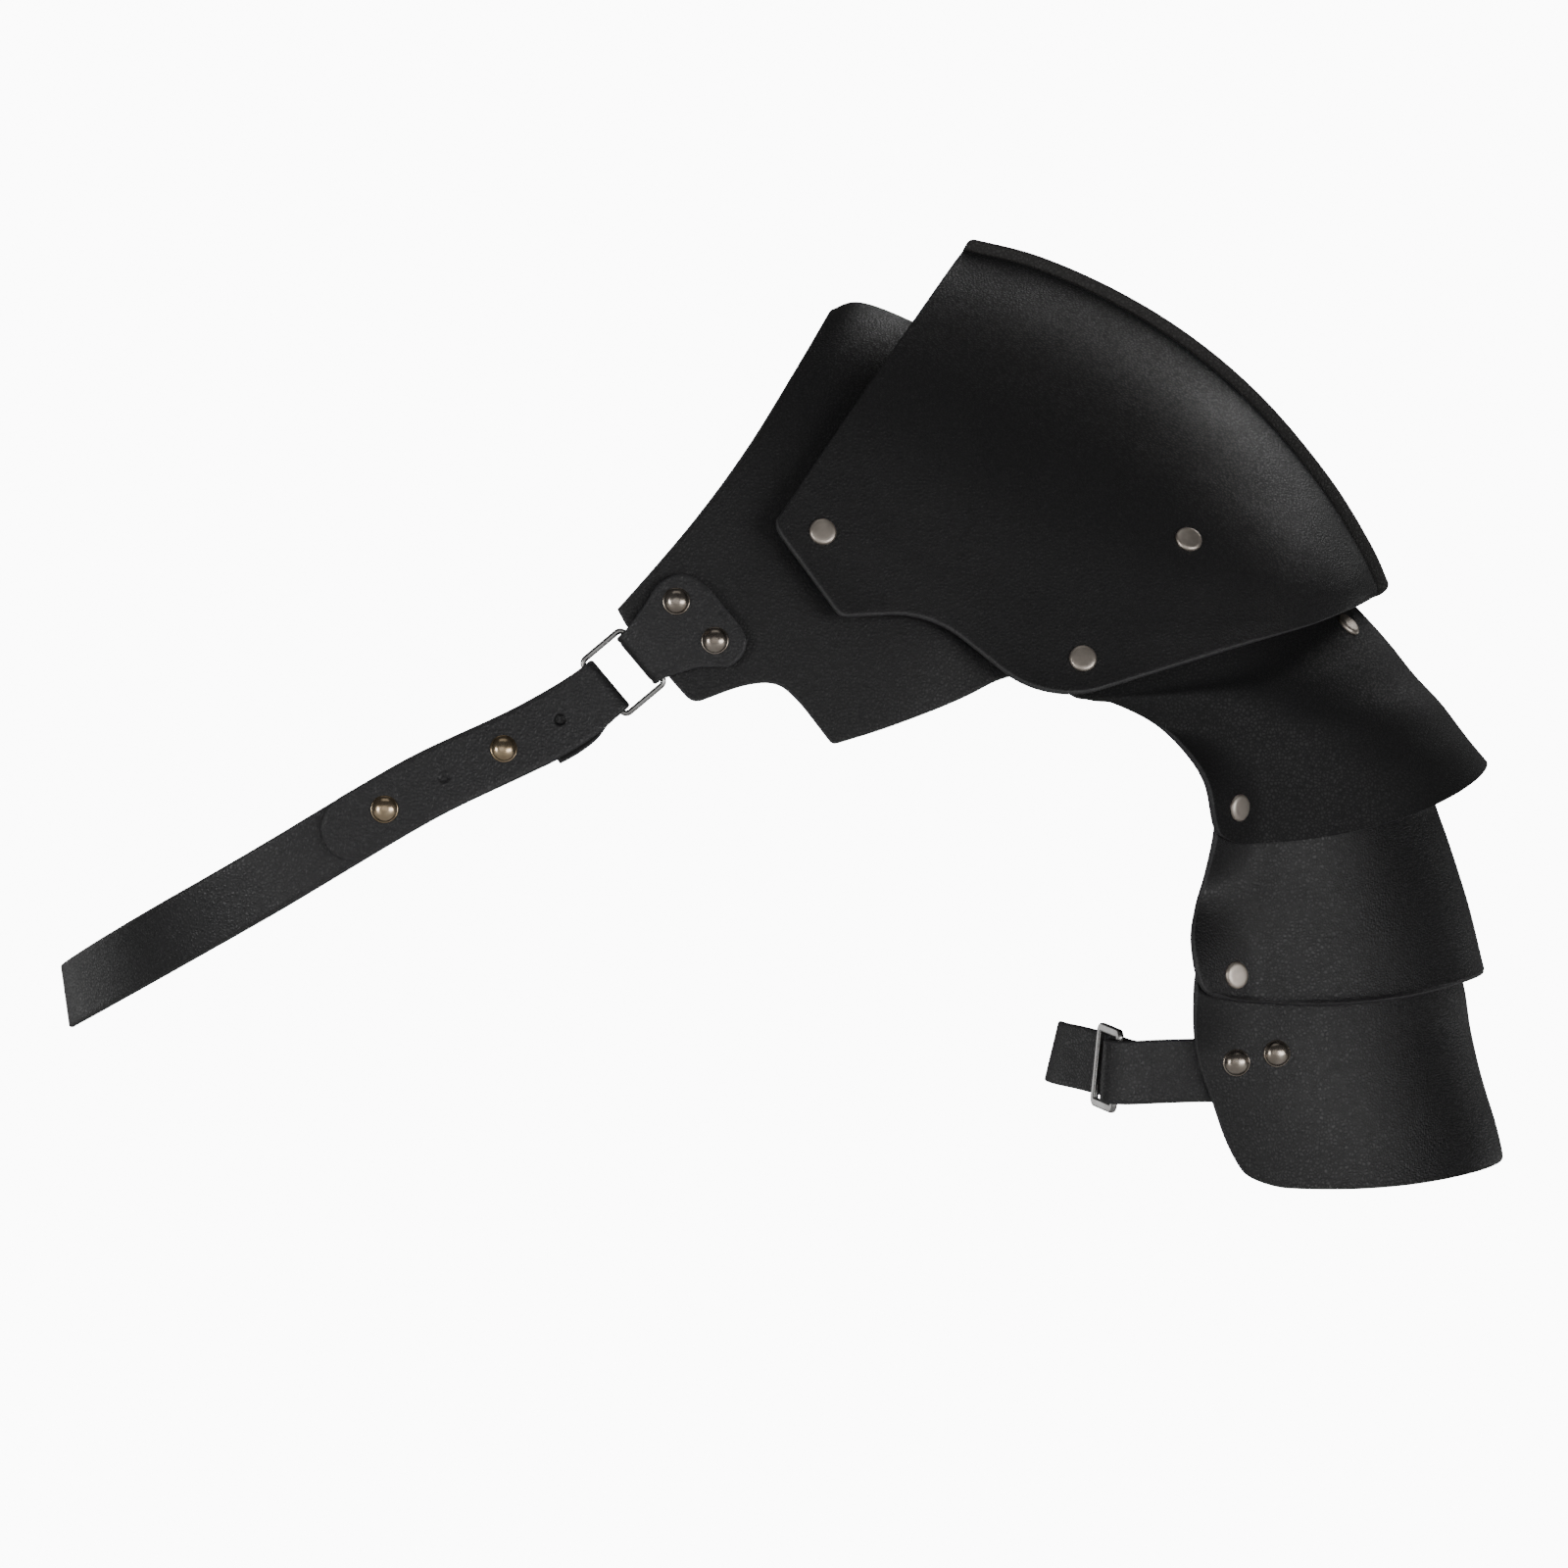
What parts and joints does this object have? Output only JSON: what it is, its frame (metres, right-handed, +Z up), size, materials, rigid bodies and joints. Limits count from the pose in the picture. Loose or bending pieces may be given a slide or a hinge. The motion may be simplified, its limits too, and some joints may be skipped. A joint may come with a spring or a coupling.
{
  "type": "pauldron",
  "caption": "Leather shoulder guard for one shoulder: a ridged two-panel cap on a broad under plate, overlapping lames down the arm, a chest strap on rings and a buckled arm strap.",
  "frame": {"origin": "shoulder seat: the top of the under plate's crest, where the shoulder carries the piece", "axes": "+Z up, -Y towards the wearer's front, +X outwards from the neck over the arm that carries it"},
  "size_m": [0.4279, 0.1992, 0.2844],
  "materials": {
    "plate_leather": "near-black smooth leather with a fine pebble grain and a soft wax sheen",
    "strap_leather": "near-black strap leather, slightly glossier on its bends",
    "plate_rivet_metal": "flat caps, warm nickel, satin with a bright rim",
    "strap_rivet_metal": "domed caps, dark bronze, polished",
    "ring_metal": "polished nickel wire"
  },
  "bodies": {
    "root": {"under_plate_front": "plate_leather", "under_plate_rear": "plate_leather", "main_plate_front": "plate_leather", "main_plate_back": "plate_leather", "ridge_welt": "plate_leather", "upper_lame": "plate_leather", "middle_lame": "plate_leather", "lower_lame": "plate_leather", "ring_tab_front": "strap_leather", "ring_tab_rear": "strap_leather", "chest_strap_tongue": "strap_leather", "chest_strap": "strap_leather", "arm_strap_front": "strap_leather", "arm_strap_rear": "strap_leather", "chest_rivet_front": "plate_rivet_metal", "chest_rivet_rear": "plate_rivet_metal", "outer_rivet_front": "plate_rivet_metal", "outer_rivet_rear": "plate_rivet_metal", "lobe_rivet_front": "plate_rivet_metal", "lobe_rivet_rear": "plate_rivet_metal", "side_rivet_front": "plate_rivet_metal", "side_rivet_rear": "plate_rivet_metal", "upper_lame_rivet_front": "plate_rivet_metal", "upper_lame_rivet_rear": "plate_rivet_metal", "middle_lame_rivet_front": "plate_rivet_metal", "middle_lame_rivet_rear": "plate_rivet_metal", "tab_rivet_upper_front": "strap_rivet_metal", "tab_rivet_upper_rear": "strap_rivet_metal", "tab_rivet_lower_front": "strap_rivet_metal", "tab_rivet_lower_rear": "strap_rivet_metal", "arm_strap_rivet_inner_front": "strap_rivet_metal", "arm_strap_rivet_inner_rear": "strap_rivet_metal", "arm_strap_rivet_outer_front": "strap_rivet_metal", "arm_strap_rivet_outer_rear": "strap_rivet_metal", "chest_strap_stud_1": "strap_rivet_metal", "chest_strap_stud_2": "strap_rivet_metal", "chest_strap_stud_rear": "strap_rivet_metal", "strap_ring_front": "ring_metal", "strap_ring_rear": "ring_metal", "arm_strap_buckle": "ring_metal"}
  },
  "joints": []
}
